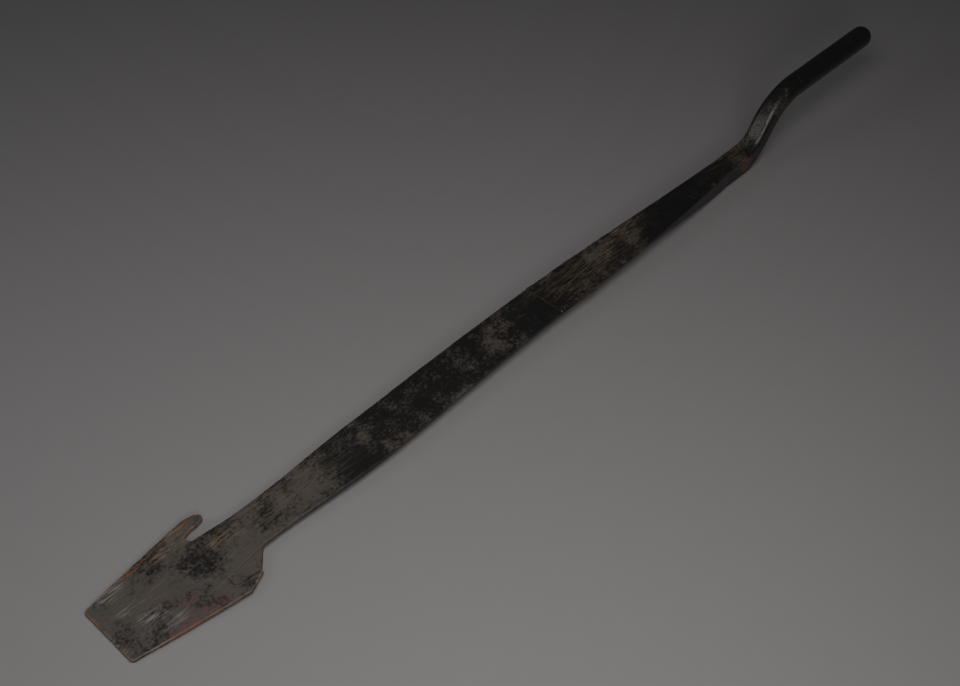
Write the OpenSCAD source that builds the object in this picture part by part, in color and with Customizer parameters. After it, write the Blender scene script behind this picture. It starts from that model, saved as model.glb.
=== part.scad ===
// Slate ripper, a roofer's tool for cutting and drawing the nails of a broken slate.
// A thin fan-shaped head with two barbs is welded to a long strap, which thickens into
// a shank, cranks upward and ends in a round handle.
// X runs from the front edge to the handle, Y across the blade and Z up. The tool stands
// as it does on a bench: the front edge of the head and the heel of the shank touch Z = 0.
// The origin is under the middle of the overall length.

/* [Overall] */
// Length from the front edge of the head to the tip of the handle
overall_l = 806; // [660:1:960]

/* [Head] */
// Distance from the front edge to the bottoms of the two notches
head_l = 77; // [66:1:96]
// Width of the straight front edge, over its corners
front_w = 50.5; // [40:0.5:66]
// Width over the two barbs
barb_span = 74; // [64:0.5:90]
// How far the barbs reach back past the bottoms of the notches
barb_l = 18; // [12:0.5:24]
// How far the hand-cut front edge sits off centre, toward the round-nosed barb
front_skew = 1.2; // [0:0.1:2]
// Thickness of the head at its front edge
front_t = 2.2; // [1.6:0.1:3]
// Thickness of the head at the barbs
head_t = 2.8; // [2:0.1:3.6]
// Radius of the two front corners
corner_r = 3; // [1:0.5:6]
// How far each side of the head bows out of a straight line
side_bow = 0.5; // [0:0.1:2]
// Radius of the rounded bottom of each notch
notch_r = 3.5; // [2.6:0.1:4.5]
// How much each notch opens out toward its mouth
notch_flare = 1.2; // [0:0.1:2.5]
// Length of the curve that rounds the nose of one barb
nose_l = 13; // [8:0.5:16]
// Length of the slanting cut on the outer corner of the clipped barb
clip_l = 14; // [8:0.5:16]
// Depth of that cut at the tip
clip_w = 6; // [3:0.5:7]

/* [Strap] */
// Thickness of the strap
strap_t = 3.8; // [3:0.1:5]
// Width of the tongue that is lapped over the head
tongue_w = 41; // [36:0.5:46]
// Distance from the front edge to the tip of the tongue
tongue_x = 52; // [40:1:58]
// Width of the strap at the neck behind the barbs
neck_w = 32; // [26:0.5:36]
// Distance from the front edge to the neck
neck_x = 115; // [105:1:140]
// Width of the strap at its widest
belly_w = 39.6; // [34:0.2:46]
// Distance from the front edge to the widest place
belly_x = 215; // [180:1:260]
// Width of the strap where it begins to narrow toward the shank
shoulder_w = 35.8; // [30:0.2:42]
// Distance from that place to the heel
shoulder_back = 188; // [150:1:230]
// Radius of the strap's long edges
edge_r = 0.8; // [0.3:0.1:1.2]
// How far the hand-forged edges wander to either side of the centre line
wander = 1.2; // [0:0.1:2]

/* [Shank and crank] */
// Width of the shank at the heel
shank_w = 18; // [15:0.5:24]
// Height of the shank at the heel
shank_t = 18.5; // [15:0.5:24]
// Length of the stretch over which the strap thickens into the shank
swell_l = 118; // [80:1:140]
// Length of the flat heel that touches the bench
heel_l = 24; // [15:1:40]
// Width of the cranked bar
crank_w = 16.6; // [14:0.2:20]
// Thickness of the cranked bar
crank_t = 15.7; // [14:0.2:20]
// Slope of the crank
crank_angle = 56; // [45:1:65]
// Bend radius of the centre line at the foot of the crank
foot_r = 30; // [24:1:34]
// Bend radius of the centre line at the top of the crank
top_r = 46; // [34:1:50]

/* [Handle] */
// Diameter of the round handle
handle_d = 18.6; // [16:0.2:24]
// Length of the straight, round stretch of the handle
grip_l = 100; // [80:1:130]
// Height of the handle's centre line above the bench
handle_h = 51; // [50:0.5:70]

/* [Welds] */
// Length of the slanting weld between head and tongue
head_weld_l = 60; // [54:1:64]
// Distance from the heel back to the top line of the weld between strap and shank
shank_weld_back = 214; // [200:1:240]
// Length of the slanting weld between strap and shank
shank_weld_l = 40; // [25:1:50]

/* [Hidden] */

// Heights that the crank climbs, and the length that it takes
rise = handle_h - shank_t / 2;
ramp_l = (rise - (foot_r + top_r) * (1 - cos(crank_angle))) / sin(crank_angle);
crank_run = (foot_r + top_r) * sin(crank_angle) + ramp_l * cos(crank_angle);

// Places along X, counted from the front edge
handle_x = overall_l - handle_d / 2 - grip_l;
heel_end = handle_x - crank_run;
heel_x = heel_end - heel_l;
shoulder_x = heel_x - shoulder_back;
swell_x = heel_x - swell_l;
shank_weld_x = heel_x - shank_weld_back;

// The blade leans up from its front edge, so that its top runs level into the heel's top
lean = atan((shank_t - strap_t) / heel_x);

// Proud height of the tongue's tip over the head, and the depth to which it is let in
tongue_proud = 0.3;
tongue_sunk = 0.35;
tongue_corner = 6;
tongue_full_x = 25;
tongue_edge_r = 0.4;
weld_edge_r = 0.05;

// Distance ahead of the notches at which the tongue begins to narrow
waist_lead = 15;

// Corner radii of the bar at the heel and on the crank
heel_edge_r = 2.5;
crank_edge_r = 4.2;

// Flat that is left between the rounded corners where the bar meets the handle
seam_flat = 0.01;

// How quickly the strap narrows toward the shank: 1 is a straight taper
narrow_power = 1.35;
wander_pitch = (heel_x - neck_x) / 1.5;

// Tips of the barbs, and the centres of the arcs at the bottoms of the notches
barb_tip_x = head_l + barb_l;
notch_x = head_l + notch_r;

// Small bevel at the inner corner of the clipped barb
barb_bevel = 1.2;

// How far the round nose's smallest arc is set in from the middle of the barb
nose_inset = 1;

// Steps along the blade, and points round each corner of a section
blade_step = 8;
strap_corner = 3;
bar_corner = 7;

steel = [0.13, 0.12, 0.11];
worn_steel = [0.2, 0.18, 0.16];

// Soft step from 0 to 1
function ease(u) = (1 - cos(180 * min(max(u, 0), 1))) / 2;
function mix(a, b, u) = a + (b - a) * min(max(u, 0), 1);
// Points of an arc about c from angle a to angle b, with radius r along X and along Y
function arc(c, r, a, b, n = 12) =
    [for (i = [0:n]) let (t = a + (b - a) * i / n) c + [r.x * cos(t), r.y * sin(t)]];
function round_arc(c, r, a, b, n = 12) = arc(c, [r, r], a, b, n);
function mirrored(points) = [for (i = [len(points) - 1:-1:0]) [points[i].x, -points[i].y]];

// Half width of the blade at a distance x from the front edge
function blade_half(x) =
    let (waist_x = head_l - waist_lead)
    x < neck_x ? mix(tongue_w / 2, neck_w / 2, ease((x - waist_x) / (neck_x - waist_x)))
    : x < belly_x ? mix(neck_w / 2, belly_w / 2, ease((x - neck_x) / (belly_x - neck_x)))
    : x < shoulder_x ? mix(belly_w / 2, shoulder_w / 2, ease((x - belly_x) / (shoulder_x - belly_x)))
    : mix(shoulder_w / 2, shank_w / 2, pow(min((x - shoulder_x) / (heel_x - shoulder_x), 1), narrow_power));

// The tongue has rounded corners at its tip
function tongue_half(x) =
    let (back = max(tongue_x + tongue_corner - x, 0))
    blade_half(x) - tongue_corner + sqrt(tongue_corner * tongue_corner - back * back);

// Sideways wander of the hand-forged strap, none at the head and at the heel
function sway(x) = x < neck_x || x > heel_x ? 0 : -wander * sin(360 * (x - neck_x) / wander_pitch);

// Slanting face of the weld between head and tongue, over the underside of the head
function head_weld_z(x) = max((head_t - tongue_sunk) * (1 - (x - tongue_x) / head_weld_l), 0);

// Top of the tongue and strap, over the underside
function strap_top(x) = mix(head_t + tongue_proud, strap_t, (x - tongue_x) / tongue_full_x);

// Section of the bar across X: a rectangle from z0 to z1 with rounded corners
function section(half, z0, z1, r0, r1, y, n) = concat(
    round_arc([y + half - r1, z1 - r1], r1, 0, 90, n),
    round_arc([y - half + r1, z1 - r1], r1, 90, 180, n),
    round_arc([y - half + r0, z0 + r0], r0, 180, 270, n),
    round_arc([y + half - r0, z0 + r0], r0, 270, 360, n));

// Stands a section across a path at [x, z] that climbs at the given slope
function placed(outline, x, z, slope) =
    [for (p = outline) [x - p.y * sin(slope), p.x, z + p.y * cos(slope)]];

// Skin over a row of rings that have the same number of points
module loft(rings) {
    n = len(rings[0]);
    last = (len(rings) - 1) * n;
    sides = [for (i = [0:n:last - n]) for (j = [0:n - 1]) let (k = (j + 1) % n)
        for (t = [[i + j, i + n + j, i + n + k], [i + j, i + n + k, i + k]]) t];
    polyhedron(
        points = [for (ring = rings) for (p = ring) p],
        faces = concat([[for (j = [0:n - 1]) j]], sides, [[for (j = [n - 1:-1:0]) last + j]]),
        convexity = 6);
}

// Lays the blade on its lean, with the front edge at the left end of the tool
module leaning() {
    translate([-overall_l / 2, 0, 0]) rotate([0, -lean, 0]) children();
}

// Draws a side profile through the width of the tool
module across(width) {
    rotate([90, 0, 0]) linear_extrude(height = width, center = true) children();
}

// Wedge above the slanting weld between strap and shank, on the shank's side
module above_shank_weld() {
    reach = 2 * shank_t;
    slant = atan(strap_t / shank_weld_l);
    translate([shank_weld_x + shank_weld_l, 0, 0]) rotate([0, slant, 0])
        translate([-overall_l, -belly_w, 0]) cube([2 * overall_l, 2 * belly_w, overall_l]);
}

// Outline of one side of the head, from the front corner to the bottom of the notch
function fan_side(round_nose) =
    let (
        half0 = front_w / 2 + (round_nose ? front_skew : -front_skew),
        half1 = barb_span / 2,
        side_end = barb_tip_x - (round_nose ? nose_l : clip_l),
        notch_y = blade_half(notch_x) + notch_r,
        inner_y = notch_y + notch_r + notch_flare,
        tip_y = (half1 + inner_y) / 2 - nose_inset,
        tip_r = tip_y - inner_y,
        slope = atan((half1 - half0) / side_end),
        corner = round_arc([corner_r, half0 - corner_r], corner_r, 180, 90 + slope, 6),
        side = [for (i = [1:10]) let (u = i / 10) [
            mix(corner_r, side_end, u),
            mix(corner[6].y, half1, u) + side_bow * sin(180 * u)]],
        nose = round_nose
            ? concat(
                arc([side_end, tip_y], [nose_l, half1 - tip_y], 80, 0, 9),
                round_arc([barb_tip_x - tip_r, tip_y], tip_r, -10, -90, 8))
            : [
                [barb_tip_x, half1 - clip_w],
                [barb_tip_x, inner_y + barb_bevel],
                [barb_tip_x - barb_bevel, inner_y]],
        notch = round_arc([notch_x, notch_y], notch_r, 90, 270, 16)
    )
    concat(corner, side, nose, notch);

// Stations along the lap of the tongue, which head and strap share
scarf_end = tongue_x + head_weld_l;
tongue_tip = [for (i = [0:4]) tongue_x + tongue_corner * i / 4];
lap = [for (i = [1:3]) mix(tongue_tip[4], notch_x, i / 3)];
heel_of_lap = [for (i = [1:4]) mix(notch_x, scarf_end, i / 4)];

// Fan-shaped plate with two barbs, scarfed where the tongue of the strap lies on it
module barbed_head() {
    stub = [for (x = heel_of_lap) [x, blade_half(x)]];
    edge = concat(fan_side(true), stub, mirrored(concat(fan_side(false), stub)));
    bed_side = concat(
        [for (x = concat(tongue_tip, lap)) [x, tongue_half(x)]],
        [[notch_x, tongue_w / 2], [scarf_end + 1, tongue_w / 2]]);
    color(worn_steel) leaning() difference() {
        intersection() {
            linear_extrude(height = head_t) polygon(edge);
            across(2 * barb_span) polygon([[-1, -1], [-1, front_t], [0, front_t], [tongue_x, head_t],
                [scarf_end + 1, head_t], [scarf_end + 1, -1]]);
        }
        intersection() {
            linear_extrude(height = 2 * head_t) polygon(concat(bed_side, mirrored(bed_side)));
            across(2 * barb_span) polygon([[tongue_x - 1, head_weld_z(tongue_x - 1)],
                [scarf_end, 0], [scarf_end, 2 * head_t], [tongue_x - 1, 2 * head_t]]);
        }
    }
}

// Long strap, with a tongue on top of the head at one end and a scarf at the other
module blade_strap() {
    end = shank_weld_x + shank_weld_l;
    body = [for (i = [1:1:ceil((end - scarf_end) / blade_step)])
        mix(scarf_end, end, i * blade_step / (end - scarf_end))];
    rings = [for (x = concat(tongue_tip, lap, heel_of_lap, body))
        let (under = x < scarf_end ? weld_edge_r : edge_r)
        placed(section(tongue_half(x), head_weld_z(x), strap_top(x), under,
            min(edge_r, tongue_edge_r + (x - tongue_x) / tongue_full_x), sway(x), strap_corner), x, 0, 0)];
    color(steel) leaning() difference() {
        loft(rings);
        above_shank_weld();
    }
}

// Bar on the heel: the strap swells downward into the shank while its edges are dubbed off
function swelling(x) =
    let (
        u = (x - swell_x) / swell_l,
        blade_z = x * sin(lean),
        z0 = blade_z * (1 - ease(u)),
        z1 = blade_z + strap_t,
        r = mix(edge_r, heel_edge_r, ease(u)))
    placed(section(blade_half(x), z0 - z1, 0, r, r, sway(x), bar_corner), x, z1, mix(lean, 0, u));

// Bar on the crank at a share u of the way from the heel's size to the crank's size
function drawn(u, x, z, slope) =
    let (
        t = mix(shank_t, crank_t, ease(u)) / 2,
        r = mix(heel_edge_r, crank_edge_r, ease(u)))
    placed(section(mix(shank_w, crank_w, ease(u)) / 2, -t, t, r, r, 0, bar_corner), x, z, slope);

// Bar in the top bend, rounding off a share u of the way to the handle's size
function rounding(u, slope) =
    let (
        half = mix(crank_w, handle_d, ease(u)) / 2,
        t = mix(crank_t, handle_d, ease(u)) / 2,
        r = min(mix(crank_edge_r, handle_d / 2, ease(u)), half - seam_flat, t - seam_flat))
    placed(section(half, -t, t, r, r, 0, bar_corner),
        handle_x - top_r * sin(slope), handle_h - top_r * (1 - cos(slope)), slope);

// Thick shank with a flat heel, bent up into the crank
module cranked_shank() {
    root_x = shank_weld_x - blade_step;
    body = [for (i = [0:1:floor((heel_x - root_x) / blade_step)]) swelling(root_x + i * blade_step)];
    heel = [for (x = [heel_x, heel_end]) drawn(0, x, shank_t / 2, 0)];
    foot = [for (i = [1:10]) let (a = crank_angle * i / 10)
        drawn(i / 10, heel_end + foot_r * sin(a), shank_t / 2 + foot_r * (1 - cos(a)), a)];
    top = [for (i = [0:12]) rounding(i / 12, crank_angle * (1 - i / 12))];
    color(steel) translate([-overall_l / 2, 0, 0]) intersection() {
        loft(concat(body, heel, foot, top));
        translate([overall_l / 2, 0, 0]) leaning() above_shank_weld();
    }
}

// Round handle with a domed end, welded on where the top bend runs level
module round_handle() {
    color(steel) translate([handle_x - overall_l / 2, 0, handle_h]) rotate([0, 90, 0])
        rotate_extrude($fn = 64) {
            square([handle_d / 2, grip_l]);
            translate([0, grip_l]) intersection() {
                circle(d = handle_d, $fn = 64);
                square(handle_d);
            }
        }
}

barbed_head();
blade_strap();
cranked_shank();
round_handle();
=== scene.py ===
import math

import bpy
import numpy as np
from bpy.props import FloatProperty, FloatVectorProperty, IntProperty, PointerProperty
from mathutils import Matrix, Vector


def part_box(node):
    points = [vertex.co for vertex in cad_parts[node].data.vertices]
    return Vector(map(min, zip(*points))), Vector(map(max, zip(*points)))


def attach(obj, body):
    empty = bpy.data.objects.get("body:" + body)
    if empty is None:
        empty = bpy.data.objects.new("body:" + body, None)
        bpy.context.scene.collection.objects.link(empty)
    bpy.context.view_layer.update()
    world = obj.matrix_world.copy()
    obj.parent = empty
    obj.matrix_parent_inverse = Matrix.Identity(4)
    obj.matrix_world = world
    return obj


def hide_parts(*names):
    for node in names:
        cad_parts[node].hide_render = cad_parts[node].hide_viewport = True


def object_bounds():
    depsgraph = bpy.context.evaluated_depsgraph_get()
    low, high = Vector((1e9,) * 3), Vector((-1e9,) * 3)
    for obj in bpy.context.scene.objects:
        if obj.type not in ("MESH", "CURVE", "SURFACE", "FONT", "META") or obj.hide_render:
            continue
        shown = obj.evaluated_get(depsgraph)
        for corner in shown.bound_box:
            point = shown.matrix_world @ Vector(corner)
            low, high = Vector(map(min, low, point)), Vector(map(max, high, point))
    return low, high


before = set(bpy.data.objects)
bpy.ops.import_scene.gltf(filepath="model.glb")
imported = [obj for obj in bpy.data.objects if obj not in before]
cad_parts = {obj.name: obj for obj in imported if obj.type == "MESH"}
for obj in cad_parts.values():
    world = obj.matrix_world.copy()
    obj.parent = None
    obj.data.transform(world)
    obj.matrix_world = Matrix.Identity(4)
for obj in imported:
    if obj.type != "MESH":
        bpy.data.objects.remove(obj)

bl_info = {
    "name": "Slate ripper finish",
    "version": (1, 0, 0),
    "blender": (4, 5, 0),
    "location": "View3D > Sidebar > Slate ripper",
    "description": "Forged and oiled steel surfaces for a slate ripper, with its floor and lights",
    "category": "Object",
}

CAD_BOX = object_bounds()

# X at which the underside of the blade's front end rests on the floor
TOOL_START = -0.403

# Numbers that follow the part's source, lengths in metres. An X is measured back from the front edge
FRONT_HALF = 0.02525
FRONT_SKEW = 0.0012
CORNER_R = 0.003
SIDE_BOW = 0.0005
BARB_X = 0.095
NOSE_L = 0.013
CLIP_L = 0.014
CLIP_END = 0.0035
BARB_BEVEL = 0.0012
NOSE_INSET = 0.001
NOTCH_X = 0.0805
NOTCH_R = 0.0035
NOTCH_REACH = 0.0082
TONGUE_X = 0.052
TONGUE_CORNER = 0.006
TONGUE_LOW = 0.00225
SCARF_END = 0.112
WAIST_X = 0.062
NECK_X = 0.115
BELLY_X = 0.215
TONGUE_HALF = 0.0205
NECK_HALF = 0.016
BELLY_HALF = 0.0198
SHOULDER_HALF = 0.0179
SHANK_HALF = 0.009
SHOULDER_BACK = 0.188
NARROW_POWER = 1.35
SWAY = 0.0012
SWAY_WAVES = 1.5
HEEL_L = 0.024
SWELL_L = 0.118
WELD_BACK = 0.214
WELD_L = 0.040

# The visible head is 0.25 mm thicker at its front edge than the part's source has it
HEAD_FRONT_T = 0.00245
HEAD_T = 0.0028

# The top of the tongue starts this high and rises to the strap's thickness over this length
TONGUE_TOP = 0.00262
TONGUE_RISE = 0.050

# The tongue's edges are rounder than the strap's up to LAP_END, and its hammer marks fade in
LAP_END = 0.08
LAP_EDGE = 0.0012
DENT_FADE = 0.03

# The head runs on under the strap between these places, set in a little from the strap's sides
STUB_START = 0.084
STUB_END = 0.110
STUB_INSET = 0.0008

# Edge radii of the strap, the heel and the crank, and the least thickness of a scarf's end
STRAP_EDGE = 0.0008
HEEL_EDGE = 0.0025
CRANK_EDGE = 0.0042
FEATHER = 0.00004

# Spacing of points along the head's outline, and how far its edge wavers, most on the round barb
OUTLINE_STEP = 0.0005
WAVER = 0.00012
BARB_WAVER = 0.00045

# The round barb's ragged inner edge lies behind this X, between these two places across
RAGGED_X = 0.074
RAGGED_ACROSS = (0.022, 0.0305)

# Pitches of the hammer marks, and the reach, radii and depths of the weld's pits
HAMMER_PITCH = 0.034
PLANISH_PITCH = 0.009
PIT_STRETCH = 0.115
PIT_RADII = (0.0006, 0.0019)
PIT_DEPTHS = (0.00012, 0.00032)

# The dry bloom of the head ends along this stretch of X. The lift is how far it favours dry scale
DRY_STRETCH = (-0.32, -0.17)
DRY_LIFT = 0.22
HEAD_DRYNESS = 1.0

# Soft lights: name, place, point aimed at, size, power in watts and tint
LIGHTS = (
    ("overhead", (-0.30, -0.24, 0.66), (-0.27, -0.20, 0), (0.45, 0.45), 2.7, (1.0, 0.985, 0.97)),
    ("key", (-0.75, -0.85, 0.62), (0.1, 0.0, 0), (0.5, 0.35), 3.2, (1.0, 0.985, 0.97)),
    ("fill", (-0.85, 0.5, 0.6), (0.25, 0, 0), (0.45, 0.4), 1.2, (0.97, 0.98, 1.0)),
)
SKY_TINT = (0.5, 0.5, 0.52, 1)
SKY_STRENGTH = 0.05

# The floor lies this far below the tool, so that the two don't share a plane
FLOOR_DROP = 0.0001


class ForgeFinish(bpy.types.PropertyGroup):
    """Colours and textures of the forged steel."""

    black: FloatVectorProperty(
        name="Oiled black", description="Colour of the oiled forge scale",
        subtype="COLOR", size=3, min=0, max=1, default=(0.0085, 0.008, 0.0078))
    dry: FloatVectorProperty(
        name="Dry scale", description="Colour of scale that has lost its oil",
        subtype="COLOR", size=3, min=0, max=1, default=(0.062, 0.051, 0.042))
    # Tan also paints the highlight along the front edge, and with rust the painted highlight round the head's
    # rim
    tan: FloatVectorProperty(
        name="Scraped tan", description="Colour of scraped and dusty patches",
        subtype="COLOR", size=3, min=0, max=1, default=(0.23, 0.165, 0.105))
    # Round the head's rim this rust is mixed with tan to paint an edge highlight as well as rust
    rust: FloatVectorProperty(
        name="Rust", description="Colour of the rust along the edges",
        subtype="COLOR", size=3, min=0, max=1, default=(0.27, 0.095, 0.028))
    # Bright steel colours the scrape marks on the head, and a painted highlight on the shank's edge
    bright: FloatVectorProperty(
        name="Bright steel", description="Colour of fresh scrape marks",
        subtype="COLOR", size=3, min=0, max=1, default=(0.40, 0.37, 0.34))
    red: FloatVectorProperty(
        name="Red tint", description="Colour of the reddish patches on the head",
        subtype="COLOR", size=3, min=0, max=1, default=(0.16, 0.035, 0.03))
    grain: FloatProperty(
        name="Grain", description="Depth of the bump in the scale",
        default=0.00022, min=0, max=0.002, unit="LENGTH")


class RipperSizes(bpy.types.PropertyGroup):
    """Sizes of the strap, shank and handle, as in the part's source, and of the hammer marks."""

    strap_t: FloatProperty(name="Strap thickness", description="Thickness of the strap",
                           default=0.0038, unit="LENGTH")
    shank_t: FloatProperty(name="Shank height", description="Height of the shank at the heel",
                           default=0.0185, unit="LENGTH")
    shank_w: FloatProperty(name="Shank width", description="Width of the shank at the heel",
                           default=0.018, unit="LENGTH")
    crank_w: FloatProperty(name="Crank width", description="Width of the cranked bar",
                           default=0.0166, unit="LENGTH")
    crank_t: FloatProperty(name="Crank thickness", description="Thickness of the cranked bar",
                           default=0.0157, unit="LENGTH")
    crank_slope: FloatProperty(name="Crank slope", description="Slope of the crank",
                               default=math.radians(56), subtype="ANGLE")
    foot_r: FloatProperty(name="Foot bend", description="Bend radius at the foot of the crank",
                          default=0.030, unit="LENGTH")
    top_r: FloatProperty(name="Top bend", description="Bend radius at the top of the crank",
                         default=0.046, unit="LENGTH")
    grip_l: FloatProperty(name="Grip", description="Length of the straight, round stretch of the handle",
                          default=0.100, unit="LENGTH")
    dent: FloatProperty(name="Hammer marks", description="Depth of the shallow hammer marks",
                        default=0.00022, unit="LENGTH")
    step: FloatProperty(name="Mesh step", description="Spacing of the rings along the tool",
                        default=0.0008, min=0.0003, unit="LENGTH")
    pit_count: IntProperty(name="Pits", description="Pits in the welded stretch", default=170, min=0)


class StudioSettings(bpy.types.PropertyGroup):
    """Camera, lights and floor."""

    lens: FloatProperty(
        name="Lens", description="Focal length on a sensor 36 mm wide", default=51.23, min=10, max=300)
    camera_place: FloatVectorProperty(
        name="Camera", description="Place of the camera", subtype="TRANSLATION", unit="LENGTH",
        size=3, default=(-0.5730, -0.4606, 0.7147))
    heading: FloatProperty(
        name="Heading", description="Turn of the view from +X toward +Y",
        subtype="ANGLE", default=math.radians(43.18))
    tilt: FloatProperty(
        name="Tilt", description="How far the camera looks down",
        subtype="ANGLE", default=math.radians(45.91))
    roll: FloatProperty(
        name="Roll", description="Roll of the camera", subtype="ANGLE", default=math.radians(0.935))
    floor_colour: FloatVectorProperty(
        name="Floor", description="Colour of the floor", subtype="COLOR", size=3, min=0, max=1,
        default=(0.25, 0.241, 0.241))
    floor_reach: FloatProperty(
        name="Floor reach", description="Half the width of the floor", default=6.0, min=1, unit="LENGTH")


class Sheet:
    """Small helper that adds shader nodes to one material."""

    def __init__(self, name):
        self.material = bpy.data.materials.new(name)
        self.material.use_nodes = True
        self.tree = self.material.node_tree
        self.tree.nodes.clear()
        self.out = self.tree.nodes.new("ShaderNodeOutputMaterial")
        self.shader = self.tree.nodes.new("ShaderNodeBsdfPrincipled")
        self.tree.links.new(self.shader.outputs[0], self.out.inputs[0])
        self.place = self.tree.nodes.new("ShaderNodeTexCoord").outputs["Object"]

    def put(self, value, socket):
        """Links a socket, or sets a plain value."""
        if isinstance(value, bpy.types.NodeSocket):
            self.tree.links.new(value, socket)
        else:
            socket.default_value = value

    def math(self, operation, a, b):
        node = self.tree.nodes.new("ShaderNodeMath")
        node.operation = operation
        self.put(a, node.inputs[0])
        self.put(b, node.inputs[1])
        return node.outputs[0]

    def stretched(self, scale):
        node = self.tree.nodes.new("ShaderNodeMapping")
        node.inputs["Scale"].default_value = scale
        self.put(self.place, node.inputs["Vector"])
        return node.outputs[0]

    def noise(self, scale, detail=3.0, rough=0.55, vector=None):
        node = self.tree.nodes.new("ShaderNodeTexNoise")
        node.inputs["Scale"].default_value = scale
        node.inputs["Detail"].default_value = detail
        node.inputs["Roughness"].default_value = rough
        self.put(vector or self.place, node.inputs["Vector"])
        return node.outputs[0]

    def cells(self, scale):
        node = self.tree.nodes.new("ShaderNodeTexVoronoi")
        node.inputs["Scale"].default_value = scale
        self.put(self.place, node.inputs["Vector"])
        return node.outputs["Distance"]

    def step(self, value, low, high, first=0.0, last=1.0):
        """Smooth step from first at low to last at high."""
        node = self.tree.nodes.new("ShaderNodeMapRange")
        node.interpolation_type = "SMOOTHSTEP"
        self.put(value, node.inputs["Value"])
        node.inputs["From Min"].default_value = low
        node.inputs["From Max"].default_value = high
        node.inputs["To Min"].default_value = first
        node.inputs["To Max"].default_value = last
        return node.outputs[0]

    def blend(self, share, a, b):
        node = self.tree.nodes.new("ShaderNodeMix")
        node.data_type = "RGBA"
        self.put(share, node.inputs[0])
        for value, socket in ((a, node.inputs[6]), (b, node.inputs[7])):
            self.put(value if isinstance(value, bpy.types.NodeSocket) else (*value, 1.0), socket)
        return node.outputs[2]

    def patch(self, centre, reach, ragged):
        """Soft-edged ellipsoid: 1 at its centre, 0 outside, with its rim broken up by a noise."""
        shift = self.tree.nodes.new("ShaderNodeVectorMath")
        shift.operation = "SUBTRACT"
        self.put(self.place, shift.inputs[0])
        shift.inputs[1].default_value = centre
        shrink = self.tree.nodes.new("ShaderNodeVectorMath")
        shrink.operation = "DIVIDE"
        self.put(shift.outputs[0], shrink.inputs[0])
        shrink.inputs[1].default_value = reach
        length = self.tree.nodes.new("ShaderNodeVectorMath")
        length.operation = "LENGTH"
        self.put(shrink.outputs[0], length.inputs[0])
        broken = self.math("ADD", length.outputs["Value"], self.math("MULTIPLY", ragged, 2.6))
        return self.step(broken, 0.25, 1.5, 1.0, 0.0)


def from_front(s, w, z=0.003):
    """Place in metres of a point s mm behind the front edge and w mm to the left of the centre."""
    return (CAD_BOX[0][0] + s / 1000, w / 1000, z)


def forged_steel(name, finish, dryness, marks, gloss=(0.34, 0.62), pits=0.0, rim=False):
    """Oiled forge scale: black under a brown dry bloom, with scrapes along the tool, and marks in places.
    Each mark is a colour, a strength, its place and its reach. Gloss is the roughness where the scale is
    oiled and where it is dry. Pits adds a bump of small holes, and rim paints tan and rust where the mesh's
    attribute of that name is high: rust, and a painted highlight on the edge's bevel."""
    sheet = Sheet(name)
    cloud = sheet.noise(38, 5, 0.6)
    speck = sheet.noise(420, 4, 0.65)
    fine = sheet.noise(1500, 2, 0.6)
    strokes = sheet.noise(900, 3, 0.6, sheet.stretched((0.09, 1, 1)))
    bloom = sheet.math("ADD", sheet.math("MULTIPLY", cloud, 0.6), sheet.math("MULTIPLY", speck, 0.4))
    split = sheet.tree.nodes.new("ShaderNodeSeparateXYZ")
    sheet.put(sheet.place, split.inputs[0])
    near_head = sheet.step(split.outputs[0], *DRY_STRETCH, DRY_LIFT * HEAD_DRYNESS, DRY_LIFT * dryness)
    bloom = sheet.step(sheet.math("ADD", bloom, near_head), 0.60, 0.78)
    colour = sheet.blend(bloom, tuple(finish.black), tuple(finish.dry))
    scratch = sheet.math("MULTIPLY", sheet.step(strokes, 0.60, 0.74), sheet.step(cloud, 0.42, 0.62))
    colour = sheet.blend(sheet.math("MULTIPLY", scratch, 0.5 * dryness), colour, tuple(finish.tan))
    smear = sheet.noise(160, 5, 0.7, sheet.stretched((0.35, 1, 1)))
    ragged = sheet.math("SUBTRACT", smear, 0.5)
    for tint, strength, centre, reach in marks:
        grainy = sheet.math("MULTIPLY", sheet.patch(centre, reach, ragged), sheet.step(strokes, 0.42, 0.66))
        colour = sheet.blend(sheet.math("MULTIPLY", grainy, strength), colour, tint)
    if rim:
        # Tan and rust along the rim: rust, and a painted highlight on the edge's bevel
        rust_and_highlight_rim = sheet.tree.nodes.new("ShaderNodeAttribute")
        rust_and_highlight_rim.attribute_name = "rim"
        share = sheet.math("MULTIPLY", rust_and_highlight_rim.outputs["Fac"], sheet.step(speck, 0.30, 0.62))
        rust_and_highlight_tint = sheet.blend(sheet.step(cloud, 0.42, 0.58), tuple(finish.tan), tuple(finish.rust))
        colour = sheet.blend(sheet.math("MULTIPLY", share, 0.75), colour, rust_and_highlight_tint)
    sheet.put(colour, sheet.shader.inputs["Base Color"])
    rough = sheet.math("ADD", sheet.step(bloom, 0, 1, *gloss), sheet.math("MULTIPLY", speck, 0.1))
    sheet.put(rough, sheet.shader.inputs["Roughness"])
    sheet.shader.inputs["Specular IOR Level"].default_value = 0.5
    height = sheet.math("ADD", sheet.math("MULTIPLY", speck, 0.5), sheet.math("MULTIPLY", fine, 0.25))
    height = sheet.math("ADD", height, sheet.math("MULTIPLY", cloud, 1.6))
    height = sheet.math("SUBTRACT", height, sheet.math("MULTIPLY", scratch, 0.25))
    if pits:
        holes = sheet.step(sheet.cells(330), 0.12, 0.42, -1.0, 0.0)
        height = sheet.math("ADD", height, sheet.math("MULTIPLY", holes, pits))
    bump = sheet.tree.nodes.new("ShaderNodeBump")
    bump.inputs["Distance"].default_value = finish.grain
    bump.inputs["Strength"].default_value = 1.0
    sheet.put(height, bump.inputs["Height"])
    sheet.put(bump.outputs[0], sheet.shader.inputs["Normal"])
    return sheet.material


def ease(u):
    """Soft step from 0 to 1."""
    return (1 - np.cos(np.pi * np.clip(u, 0, 1))) / 2


def mix(a, b, u):
    """Straight blend from a to b, held at its ends."""
    return a + (b - a) * np.clip(u, 0, 1)


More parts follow.
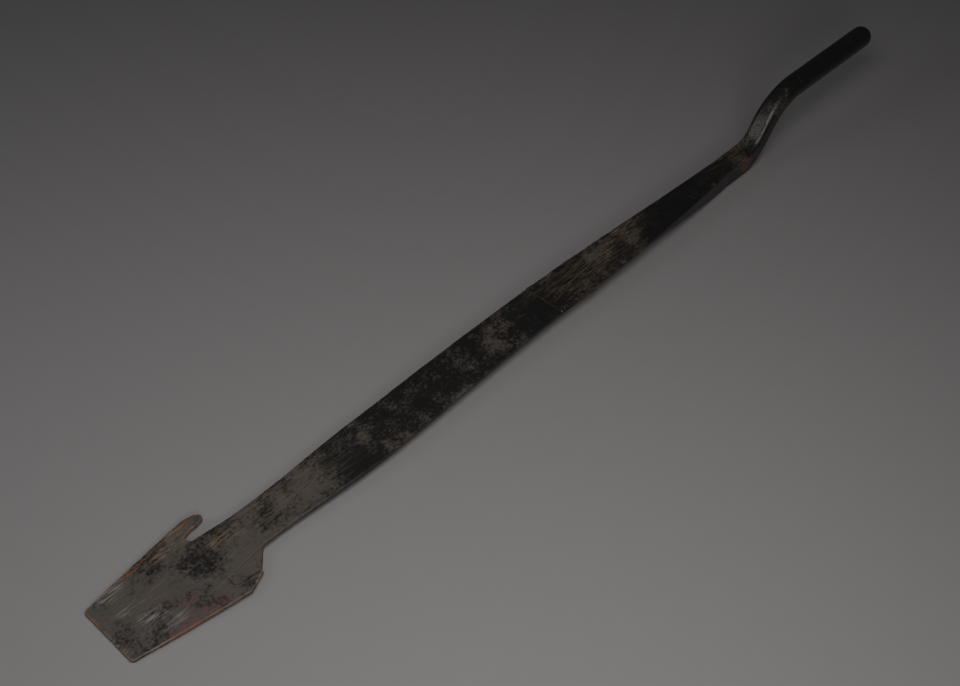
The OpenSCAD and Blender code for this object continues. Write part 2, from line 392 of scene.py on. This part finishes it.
def waves(points, pitch, seed, count=28):
    """Smooth random field of about unit height: a sum of sine waves in random directions."""
    draw = np.random.default_rng(seed)
    way = draw.normal(size=(count, 3))
    way /= np.linalg.norm(way, axis=1, keepdims=True)
    way *= (2 * np.pi / pitch) * draw.uniform(0.6, 1.5, (count, 1))
    phase = draw.uniform(0, 2 * np.pi, count)
    return np.sin(points @ way.T + phase).sum(axis=-1) / np.sqrt(count / 2)


def ring(corner_points, flat_points, side_points):
    """Template of a rounded rectangle: for each point, which corner centre it hangs on and its angle.
    Along a flat the corner share runs evenly from one side to the other."""
    quarter = np.linspace(0, np.pi / 2, corner_points)
    share = np.linspace(1, -1, flat_points + 2)[1:-1]
    rise = np.linspace(1, -1, side_points + 2)[1:-1]
    parts = []
    for turn, (sy, sz) in enumerate(((1, 1), (-1, 1), (-1, -1), (1, -1))):
        angle = quarter + turn * np.pi / 2
        parts.append(np.stack([np.full_like(angle, sy), np.full_like(angle, sz), angle], 1))
        along = share if turn in (0, 2) else rise
        fixed = np.full_like(along, turn * np.pi / 2 + np.pi / 2)
        flip = 1 if turn in (0, 1) else -1
        if turn in (0, 2):
            parts.append(np.stack([flip * along, np.full_like(along, sz), fixed], 1))
        else:
            parts.append(np.stack([np.full_like(along, sy), flip * along, fixed], 1))
    return np.concatenate(parts)


def sections(template, half, low, high, radius, sway):
    """Rounded rectangles across the bar, one per station: offsets across and up, and outward normals."""
    half, low, high, radius, sway = (np.asarray(v, float)[:, None] for v in (half, low, high, radius, sway))
    middle, tall = (low + high) / 2, (high - low) / 2
    radius = np.minimum(radius, 0.98 * np.minimum(half, tall))
    sy, sz, angle = template.T
    across = sway + sy * (half - radius) + radius * np.cos(angle)
    above = middle + sz * (tall - radius) + radius * np.sin(angle)
    normal = np.stack(np.broadcast_arrays(np.cos(angle) + 0 * half, np.sin(angle) + 0 * half), -1)
    return across, above, normal


def along_path(across, above, normal, x, z, slope):
    """Stands each section square to a path at x, z that climbs at the given slope."""
    x, z, slope = (np.asarray(v, float)[:, None] for v in (x, z, slope))
    points = np.stack([x - above * np.sin(slope), across, z + above * np.cos(slope)], -1)
    outward = np.stack([-normal[..., 1] * np.sin(slope), normal[..., 0], normal[..., 1] * np.cos(slope)], -1)
    return points, outward


def skin(name, points):
    """Surface over rows of rings, with one flat face over each end ring. Its faces point inwards."""
    rows, n = points.shape[:2]
    i, j = np.meshgrid(np.arange(rows - 1), np.arange(n), indexing="ij")
    k = (j + 1) % n
    quads = np.stack([i * n + j, (i + 1) * n + j, (i + 1) * n + k, i * n + k], -1).reshape(-1, 4)
    faces = quads.tolist()
    faces.append(list(range(n)))
    faces.append(list(range(rows * n - 1, (rows - 1) * n - 1, -1)))
    mesh = bpy.data.meshes.new(name)
    mesh.from_pydata(points.reshape(-1, 3).tolist(), [], faces)
    mesh.validate()
    mesh.shade_smooth()
    piece = bpy.data.objects.new(name, mesh)
    bpy.context.scene.collection.objects.link(piece)
    return piece


def place_piece(piece, node, material):
    """Puts a finished piece in place of its node, on the tool's one body."""
    piece.data.materials.append(material)
    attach(piece, "root")
    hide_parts(node)


class Blade:
    """Places along the tool, in metres from the front edge, and the blade's width and wander."""

    def __init__(self, sizes):
        low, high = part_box("round_handle")
        self.handle_r = (high.y - low.y) / 2
        self.handle_h = high.z - self.handle_r
        self.handle_x = low.x - TOOL_START
        rise = self.handle_h - sizes.shank_t / 2
        bends = sizes.foot_r + sizes.top_r
        self.ramp = (rise - bends * (1 - math.cos(sizes.crank_slope))) / math.sin(sizes.crank_slope)
        run = bends * math.sin(sizes.crank_slope) + self.ramp * math.cos(sizes.crank_slope)
        self.heel_end = self.handle_x - run
        self.heel_x = self.heel_end - HEEL_L
        self.weld_x = self.heel_x - WELD_BACK
        self.weld_end = self.weld_x + WELD_L
        self.swell_x = self.heel_x - SWELL_L
        self.lean = math.atan((sizes.shank_t - sizes.strap_t) / self.heel_x)

    def half(self, x):
        """Half width: it eases from the tongue to the neck and the belly, then tapers to the shank."""
        shoulder = self.heel_x - SHOULDER_BACK
        taper = np.clip((x - shoulder) / (self.heel_x - shoulder), 0, 1) ** NARROW_POWER
        return np.select(
            [x < NECK_X, x < BELLY_X, x < shoulder],
            [mix(TONGUE_HALF, NECK_HALF, ease((x - WAIST_X) / (NECK_X - WAIST_X))),
             mix(NECK_HALF, BELLY_HALF, ease((x - NECK_X) / (BELLY_X - NECK_X))),
             mix(BELLY_HALF, SHOULDER_HALF, ease((x - BELLY_X) / (shoulder - BELLY_X)))],
            mix(SHOULDER_HALF, SHANK_HALF, taper))

    def sway(self, x):
        """Sideways wander between neck and heel: a sine of one and a half waves."""
        pitch = (self.heel_x - NECK_X) / SWAY_WAVES
        inside = (x > NECK_X) & (x < self.heel_x)
        return np.where(inside, -SWAY * np.sin(2 * np.pi * (x - NECK_X) / pitch), 0)


def hammered(points, outward, depth, seed):
    """Presses points inward by two random fields, a coarse one for the hammer and a fine one a quarter
    as deep, each levelled off by a hyperbolic tangent."""
    coarse = waves(points, HAMMER_PITCH, seed)
    fine = waves(points, PLANISH_PITCH, seed + 1)
    press = depth * (0.5 + 0.5 * np.tanh(coarse)) + 0.25 * depth * (0.5 + 0.5 * np.tanh(fine))
    return points - outward * press[..., None]


def pitted(points, outward, count, low, high, seed):
    """Presses small round pits inward at random places between two stations. A pit's depth falls off
    as the bell curve of the distance over its radius."""
    draw = np.random.default_rng(seed)
    sink = np.zeros(points.shape[:2])
    rows = np.flatnonzero((points[:, 0, 0] > low) & (points[:, 0, 0] < high))
    for _ in range(count):
        centre = points[draw.choice(rows), draw.integers(points.shape[1])]
        radius = draw.uniform(*PIT_RADII)
        gap = np.linalg.norm(points - centre, axis=-1)
        sink = np.maximum(sink, draw.uniform(*PIT_DEPTHS) * np.exp(-(gap / radius) ** 2))
    return points - outward * sink[..., None]


def arc(centre, radii, start, end, count):
    """Points of an arc about a centre, angles in degrees."""
    angle = np.radians(np.linspace(start, end, count))
    return np.stack([centre[0] + radii[0] * np.cos(angle), centre[1] + radii[1] * np.sin(angle)], 1)


def head_side(blade, round_nose):
    """One side of the head's outline: corner, bowed side, barb and notch, out to the tongue's side."""
    skew = FRONT_SKEW if round_nose else -FRONT_SKEW
    half0 = FRONT_HALF + skew
    half1 = CAD_BOX[1][1]
    side_end = BARB_X - (NOSE_L if round_nose else CLIP_L)
    edge = float(blade.half(np.array([NOTCH_X]))[0])
    notch_y = edge + NOTCH_R
    inner = edge + NOTCH_REACH
    slope = math.degrees(math.atan((half1 - half0) / side_end))
    corner = arc((CORNER_R, half0 - CORNER_R), (CORNER_R, CORNER_R), 180, 90 + slope, 7)
    u = np.linspace(0.1, 1, 10)
    bowed = mix(corner[-1, 1], half1, u) + SIDE_BOW * np.sin(np.pi * u)
    side = np.stack([mix(CORNER_R, side_end, u), bowed], 1)
    if round_nose:
        tip_y = (half1 + inner) / 2 - NOSE_INSET
        small = tip_y - inner
        barb = np.concatenate([
            arc((side_end, tip_y), (NOSE_L, half1 - tip_y), 80, 0, 10),
            arc((BARB_X - small, tip_y), (small, small), -10, -90, 9)])
    else:
        barb = np.array([
            [BARB_X, inner + CLIP_END],
            [BARB_X, inner + BARB_BEVEL],
            [BARB_X - BARB_BEVEL, inner]])
    notch = arc((NOTCH_X, notch_y), (NOTCH_R, NOTCH_R), 90, 270, 17)
    back = np.linspace(STUB_START, STUB_END, 5)
    stub = np.stack([back, blade.half(back) - STUB_INSET], 1)
    return np.concatenate([corner, side, barb, notch, stub])


def evenly(points, gap):
    """Points at even steps along a closed outline."""
    closed = np.concatenate([points, points[:1]])
    run = np.concatenate([[0], np.cumsum(np.linalg.norm(np.diff(closed, axis=0), axis=1))])
    at = np.linspace(0, run[-1], int(run[-1] / gap), endpoint=False)
    return np.stack([np.interp(at, run, closed[:, k]) for k in (0, 1)], 1)


def head_shell(blade):
    """The head's skin: its outline, wavering as forged, carried round a worn rim, and flat inside it.
    Each ring has an inset from the outline, a height as a share of the thickness, and how much rust and
    painted edge highlight it carries.
    The widest inset crosses itself at the clipped barb's narrow tip, so the flat face closes that notch."""
    left, right = head_side(blade, True), head_side(blade, False)
    outline = evenly(np.concatenate([left, right[::-1] * (1, -1)])[::-1], OUTLINE_STEP)
    along = np.roll(outline, -2, 0) - np.roll(outline, 2, 0)
    normal = np.stack([along[:, 1], -along[:, 0]], 1) / np.linalg.norm(along, axis=1, keepdims=True)
    flat = np.column_stack([outline, 0 * outline[:, 0]])
    low, high = RAGGED_ACROSS
    ragged = (outline[:, 0] > RAGGED_X) & (outline[:, 1] > low) & (outline[:, 1] < high)
    waver = WAVER + np.where(ragged, BARB_WAVER, 0)
    fine = 0.5 + 0.5 * np.tanh(waves(flat, 0.006, 31))
    press = waver * fine + 0.0001 * (1 + waves(flat, 0.02, 32)) / 2
    # Random field along the outline, where the rim's rust and painted edge highlight come and go
    rust_and_highlight_rim = 0.5 + 0.5 * np.tanh(1.5 * waves(flat, 0.013, 33))
    # Rings: inset, height as a share of the thickness, and share of rust and painted edge highlight, most on
    # the rounding of the top edge
    rings = [
        (0.0015, 0.0, 0.0),
        (0.0006, 0.0, 0.1),
        (0.00015, 0.06, 0.3),
        (0.0, 0.2, 0.5),
        (0.0, 0.55, 0.5),
        (0.00008, 0.75, 0.8),
        (0.00028, 0.9, 1.0),
        (0.0006, 0.985, 0.9),
        (0.0010, 1.0, 0.3),
        (0.0015, 1.0, 0.0)]
    rows = []
    rim = []
    for inset, share, rust_and_highlight_share in rings:
        at = outline - normal * (inset + press)[:, None]
        top = mix(HEAD_FRONT_T, HEAD_T, at[:, 0] / BARB_X)
        rows.append(np.column_stack([at, share * top]))
        rim.append(rust_and_highlight_share * (0.35 + 0.65 * rust_and_highlight_rim))
    return np.array(rows), np.array(rim)


def leaned(points, lean):
    """Lays points of the blade on its lean, with the front edge at the left end of the tool."""
    c, n = math.cos(lean), math.sin(lean)
    turned = points @ np.array([[c, 0, n], [0, 1, 0], [-n, 0, c]])
    turned[..., 0] += TOOL_START
    return turned


def strap_shell(sizes, blade):
    """The strap's skin: rounded rectangles along X, whose underside falls along the head's scarf and whose
    top rises from the feathered tongue and falls along the shank's weld."""
    x = np.arange(TONGUE_X, blade.weld_end, sizes.step)
    back = np.maximum(TONGUE_X + TONGUE_CORNER - x, 0)
    half = blade.half(x) - TONGUE_CORNER + np.sqrt(TONGUE_CORNER ** 2 - back ** 2)
    low = np.maximum(TONGUE_LOW * (1 - (x - TONGUE_X) / (SCARF_END - TONGUE_X)), 0)
    high = mix(TONGUE_TOP, sizes.strap_t, ease((x - TONGUE_X) / TONGUE_RISE))
    high = np.minimum(high, sizes.strap_t * (1 - (x - blade.weld_x) / WELD_L))
    high = np.maximum(high, low + FEATHER)
    radius = np.where(x < LAP_END, LAP_EDGE, STRAP_EDGE)
    parts = sections(ring(7, 46, 3), half, low, high, radius, blade.sway(x))
    points, outward = along_path(*parts, x, 0 * x, 0 * x)
    depth = sizes.dent * 0.8 * ease((x - TONGUE_X) / DENT_FADE)
    return hammered(points, outward, depth[:, None], 5)


# All rows of the shank have rings of the same points
SHANK_RING = (10, 16, 8)


def swelling_rows(sizes, blade):
    """From the weld to the heel: the top follows the blade's lean, and the underside eases down to the
    floor, but not before the scarf's slant lets it."""
    x = np.arange(blade.weld_x, blade.heel_x, sizes.step)
    u = (x - blade.swell_x) / (blade.heel_x - blade.swell_x)
    base = x * math.sin(blade.lean)
    high = base + sizes.strap_t
    low = base * (1 - ease(u))
    low = np.maximum(low, base + sizes.strap_t * (1 - (x - blade.weld_x) / WELD_L) - FEATHER / 2)
    low = np.minimum(low, high - FEATHER)
    edge = mix(STRAP_EDGE, HEEL_EDGE, ease(u))
    body = sections(ring(*SHANK_RING), blade.half(x), low - high, 0 * x, edge, blade.sway(x))
    return along_path(*body, x, high, mix(blade.lean, 0, u))


def heel_rows(sizes, blade):
    """The straight heel: one section, level with the floor."""
    heel = np.linspace(blade.heel_x, blade.heel_end, 24, endpoint=False)
    flat = 0 * heel
    middle = flat + sizes.shank_t / 2
    body = sections(
        ring(*SHANK_RING), flat + sizes.shank_w / 2, flat - sizes.shank_t / 2, middle, flat + HEEL_EDGE, flat)
    return along_path(*body, heel, middle, flat)


def foot_rows(sizes, blade):
    """Round the foot bend: an arc whose slope grows evenly to the crank's, as the bar thins and is dubbed."""
    u = np.linspace(0, 1, 40, endpoint=False)
    a = sizes.crank_slope * u
    t = mix(sizes.shank_t, sizes.crank_t, ease(u)) / 2
    w = mix(sizes.shank_w, sizes.crank_w, ease(u)) / 2
    body = sections(ring(*SHANK_RING), w, -t, t, mix(HEEL_EDGE, CRANK_EDGE, ease(u)), 0 * u)
    return along_path(
        *body,
        blade.heel_end + sizes.foot_r * np.sin(a),
        sizes.shank_t / 2 + sizes.foot_r * (1 - np.cos(a)), a)


def top_rows(sizes, blade):
    """Up the straight crank and round its top: u runs below 0 on the straight, then from 0 to 1 on an arc
    whose slope falls evenly to level, while the section turns into the handle's circle."""
    straight = 0.18
    u = np.linspace(-straight, 1, 80)
    a = sizes.crank_slope * np.clip(1 - u, 0, 1)
    short = np.clip(-u, 0, 1) / straight * blade.ramp
    t = mix(sizes.crank_t / 2, blade.handle_r, ease(u))
    w = mix(sizes.crank_w / 2, blade.handle_r, ease(u))
    body = sections(ring(*SHANK_RING), w, -t, t, mix(CRANK_EDGE, blade.handle_r, ease(u)), 0 * u)
    return along_path(
        *body,
        blade.handle_x - sizes.top_r * np.sin(a) - short * np.cos(sizes.crank_slope),
        blade.handle_h - sizes.top_r * (1 - np.cos(a)) - short * np.sin(sizes.crank_slope), a)


class FinishHead(bpy.types.Operator):
    """Finish the barbed head: dry brown scale, scraped patches, and rims of rust and painted edge highlight
    """

    bl_idname = "ripper.finish_head"
    bl_label = "Finish head"

    def execute(self, context):
        finish = context.scene.forge_finish
        tan, rust, bright, red = (tuple(c) for c in (finish.tan, finish.rust, finish.bright, finish.red))
        marks = [
            (tan, 0.85, from_front(56, 28.5), (0.007, 0.006, 0.01)),
            (tan, 0.5, from_front(69, 28), (0.013, 0.008, 0.01)),
            (rust, 0.8, from_front(36, 30.5), (0.016, 0.003, 0.01)),
            (rust, 0.6, from_front(80, 35.0), (0.02, 0.0045, 0.01)),
            # Thin tan line along the front edge: a painted highlight on its bevel
            (tan, 0.5, from_front(1, 0), (0.0016, 0.03, 0.01)),
            (bright, 0.45, from_front(18, 24), (0.011, 0.004, 0.01)),
            (bright, 0.4, from_front(20, 7), (0.009, 0.003, 0.01)),
            (bright, 0.4, from_front(27, -8), (0.010, 0.006, 0.01)),
            (bright, 0.4, from_front(35, -20), (0.010, 0.0035, 0.01)),
            (red, 0.55, from_front(45, -29), (0.026, 0.006, 0.01)),
            (red, 0.4, from_front(50, -17), (0.008, 0.005, 0.01)),
        ]
        blade = Blade(context.scene.ripper_sizes)
        points, rim = head_shell(blade)
        piece = skin("forged_head", leaned(points, blade.lean))
        # The rim attribute says where to paint rust and a highlight on the edge's bevel
        rust_and_highlight_rim = piece.data.attributes.new("rim", "FLOAT", "POINT")
        rust_and_highlight_rim.data.foreach_set("value", rim.ravel())
        place_piece(piece, "barbed_head",
                    forged_steel("head_scale", finish, HEAD_DRYNESS, marks, rim=True))
        return {"FINISHED"}


class FinishStrap(bpy.types.Operator):
    """Finish the strap: oiled black with brown clouds, and a brown bloom near the head"""

    bl_idname = "ripper.finish_strap"
    bl_label = "Finish strap"

    def execute(self, context):
        finish = context.scene.forge_finish
        tan, dry, red = tuple(finish.tan), tuple(finish.dry), tuple(finish.red)
        marks = [
            (red, 0.4, from_front(50, -17), (0.008, 0.005, 0.01)),
            (tan, 0.55, from_front(92, 8.5), (0.016, 0.005, 0.01)),
            (tan, 0.35, from_front(130, 4), (0.04, 0.012, 0.02)),
            (dry, 0.5, from_front(160, 0), (0.05, 0.02, 0.02)),
            (tan, 0.8, from_front(60.5, 3.5), (0.0012, 0.0012, 0.01)),
            (tan, 0.8, from_front(68, -11.5), (0.0012, 0.0012, 0.01)),
            (tan, 0.8, from_front(103, 9.5), (0.0012, 0.0012, 0.01)),
            (tan, 0.35, from_front(402, 12), (0.03, 0.006, 0.02)),
            (tan, 0.3, from_front(420, -4), (0.008, 0.006, 0.02)),
        ]
        sizes = context.scene.ripper_sizes
        blade = Blade(sizes)
        points = strap_shell(sizes, blade)
        piece = skin("forged_strap", leaned(points, blade.lean))
        place_piece(piece, "blade_strap",
                    forged_steel("strap_scale", finish, 0.55, marks, (0.30, 0.55)))
        return {"FINISHED"}


class FinishShank(bpy.types.Operator):
    """Finish the shank and crank: pitted and brown at the weld, then black, and worn at the crank's foot"""

    bl_idname = "ripper.finish_shank"
    bl_label = "Finish shank"

    def execute(self, context):
        finish = context.scene.forge_finish
        tan, rust, bright = tuple(finish.tan), tuple(finish.rust), tuple(finish.bright)
        marks = [
            (tan, 0.32, from_front(440, 2, 0.012), (0.05, 0.016, 0.01)),
            (tan, 0.40, from_front(492, 8, 0.015), (0.02, 0.008, 0.01)),
            (tan, 0.12, from_front(612, 0, 0.019), (0.03, 0.012, 0.01)),
            (rust, 0.55, from_front(612, 8, 0.018), (0.02, 0.002, 0.01)),
            (rust, 0.7, from_front(629, -9, 0.012), (0.006, 0.003, 0.008)),
            (tan, 0.35, from_front(645, 2, 0.030), (0.012, 0.008, 0.012)),
            # Small bright spot on the shank's top right edge: a painted highlight
            (bright, 0.6, from_front(582, -9, 0.016), (0.002, 0.0015, 0.002)),
        ]
        sizes = context.scene.ripper_sizes
        blade = Blade(sizes)
        rows = [part(sizes, blade) for part in (swelling_rows, heel_rows, foot_rows, top_rows)]
        points = np.concatenate([row[0] for row in rows])
        outward = np.concatenate([row[1] for row in rows])
        points = hammered(points, outward, sizes.dent, 9)
        points = pitted(points, outward, sizes.pit_count, blade.weld_x, blade.weld_x + PIT_STRETCH, 3)
        points[..., 2] = np.maximum(points[..., 2], 0)
        points[..., 0] += TOOL_START
        piece = skin("forged_shank", points)
        place_piece(piece, "cranked_shank",
                    forged_steel("shank_scale", finish, 0.5, marks, (0.28, 0.55), pits=0.5))
        return {"FINISHED"}


class FinishHandle(bpy.types.Operator):
    """Finish the handle: smooth black, polished by the hand"""

    bl_idname = "ripper.finish_handle"
    bl_label = "Finish handle"

    def execute(self, context):
        finish = context.scene.forge_finish
        sizes = context.scene.ripper_sizes
        blade = Blade(sizes)
        straight = np.arange(0, sizes.grip_l, sizes.step)
        dome = np.linspace(0, np.pi / 2 - 0.02, 26)
        x = np.concatenate([straight, sizes.grip_l + blade.handle_r * np.sin(dome)])
        radius = np.concatenate([0 * straight + blade.handle_r, blade.handle_r * np.cos(dome)])
        around = np.linspace(0, 2 * np.pi, 96, endpoint=False)
        outward = np.stack(np.broadcast_arrays(
            0 * x[:, None], np.cos(around) + 0 * x[:, None], np.sin(around) + 0 * x[:, None]), -1)
        points = outward * radius[:, None, None]
        points[..., 0] = (blade.handle_x + x)[:, None]
        points = hammered(points, outward * (radius / blade.handle_r)[:, None, None], sizes.dent * 0.5, 21)
        points += np.array([TOOL_START, 0, blade.handle_h])
        piece = skin("forged_handle", points)
        place_piece(piece, "round_handle",
                    forged_steel("handle_scale", finish, 0.15, [], (0.30, 0.5)))
        return {"FINISHED"}


def area_light(name, place, target, size, power, tint):
    """Rectangular soft light at a place, aimed at a target, unseen by the camera."""
    data = bpy.data.lights.new(name, "AREA")
    data.shape = "RECTANGLE"
    data.size, data.size_y = size
    data.energy = power
    data.color = tint
    light = bpy.data.objects.new(name, data)
    light.location = place
    light.visible_camera = False
    light.rotation_euler = (Vector(target) - Vector(place)).to_track_quat("-Z", "Y").to_euler()
    bpy.context.scene.collection.objects.link(light)


def lay_floor(studio):
    """Wide flat floor with a faint speckle."""
    reach = studio.floor_reach
    square = ((-reach, -reach), (reach, -reach), (reach, reach), (-reach, reach))
    corners = [(x, y, -FLOOR_DROP) for x, y in square]
    mesh = bpy.data.meshes.new("floor")
    mesh.from_pydata(corners, [], [(0, 1, 2, 3)])
    floor = bpy.data.objects.new("floor", mesh)
    bpy.context.scene.collection.objects.link(floor)
    sheet = Sheet("floor_paint")
    tone = tuple(studio.floor_colour)
    darker = tuple(0.95 * c for c in tone)
    sheet.put(sheet.blend(sheet.noise(60, 4), darker, tone), sheet.shader.inputs["Base Color"])
    sheet.shader.inputs["Roughness"].default_value = 0.62
    mesh.materials.append(sheet.material)


def aim_camera(studio):
    """Camera at its place, turned by its heading, tilt and roll."""
    ahead = Vector((
        math.cos(studio.heading) * math.cos(studio.tilt),
        math.sin(studio.heading) * math.cos(studio.tilt),
        -math.sin(studio.tilt)))
    right = Vector((math.sin(studio.heading), -math.cos(studio.heading), 0))
    up = right.cross(ahead)
    right_rolled = math.cos(studio.roll) * right + math.sin(studio.roll) * up
    up_rolled = math.cos(studio.roll) * up - math.sin(studio.roll) * right
    data = bpy.data.cameras.new("camera")
    data.sensor_fit = "HORIZONTAL"
    data.sensor_width = 36
    data.lens = studio.lens
    data.clip_start = 0.01
    camera = bpy.data.objects.new("camera", data)
    turn = Matrix((right_rolled, up_rolled, -ahead)).transposed().to_4x4()
    camera.matrix_world = Matrix.Translation(studio.camera_place) @ turn
    bpy.context.scene.collection.objects.link(camera)
    bpy.context.scene.camera = camera


def light_scene(scene):
    """Soft lights, a faint sky, and colours shown as they are."""
    for light in LIGHTS:
        area_light(*light)
    sky = bpy.data.worlds.new("studio")
    scene.world = sky
    sky.use_nodes = True
    sky.node_tree.nodes["Background"].inputs[0].default_value = SKY_TINT
    sky.node_tree.nodes["Background"].inputs[1].default_value = SKY_STRENGTH
    scene.view_settings.view_transform = "Standard"


class SetStage(bpy.types.Operator):
    """Lay the floor, and set the camera and the soft studio lights"""

    bl_idname = "ripper.set_stage"
    bl_label = "Set stage"

    def execute(self, context):
        lay_floor(context.scene.studio)
        aim_camera(context.scene.studio)
        light_scene(context.scene)
        return {"FINISHED"}


STEPS = (SetStage, FinishHead, FinishStrap, FinishShank, FinishHandle)


class RipperPanel(bpy.types.Panel):
    """Buttons and settings of the slate ripper"""

    bl_label = "Slate ripper"
    bl_idname = "VIEW3D_PT_slate_ripper"
    bl_space_type = "VIEW_3D"
    bl_region_type = "UI"
    bl_category = "Slate ripper"

    def draw(self, context):
        for step in STEPS:
            self.layout.operator(step.bl_idname)
        for group in (context.scene.forge_finish, context.scene.ripper_sizes, context.scene.studio):
            for name in group.__annotations__:
                self.layout.prop(group, name)


CLASSES = (ForgeFinish, RipperSizes, StudioSettings, *STEPS, RipperPanel)


def register():
    for item in CLASSES:
        bpy.utils.register_class(item)
    bpy.types.Scene.forge_finish = PointerProperty(type=ForgeFinish)
    bpy.types.Scene.studio = PointerProperty(type=StudioSettings)
    bpy.types.Scene.ripper_sizes = PointerProperty(type=RipperSizes)


def unregister():
    del bpy.types.Scene.ripper_sizes
    del bpy.types.Scene.studio
    del bpy.types.Scene.forge_finish
    for item in reversed(CLASSES):
        bpy.utils.unregister_class(item)


def main():
    register()
    bpy.ops.ripper.set_stage()
    bpy.ops.ripper.finish_head()
    bpy.ops.ripper.finish_strap()
    bpy.ops.ripper.finish_shank()
    bpy.ops.ripper.finish_handle()


if __name__ == "__main__":
    main()
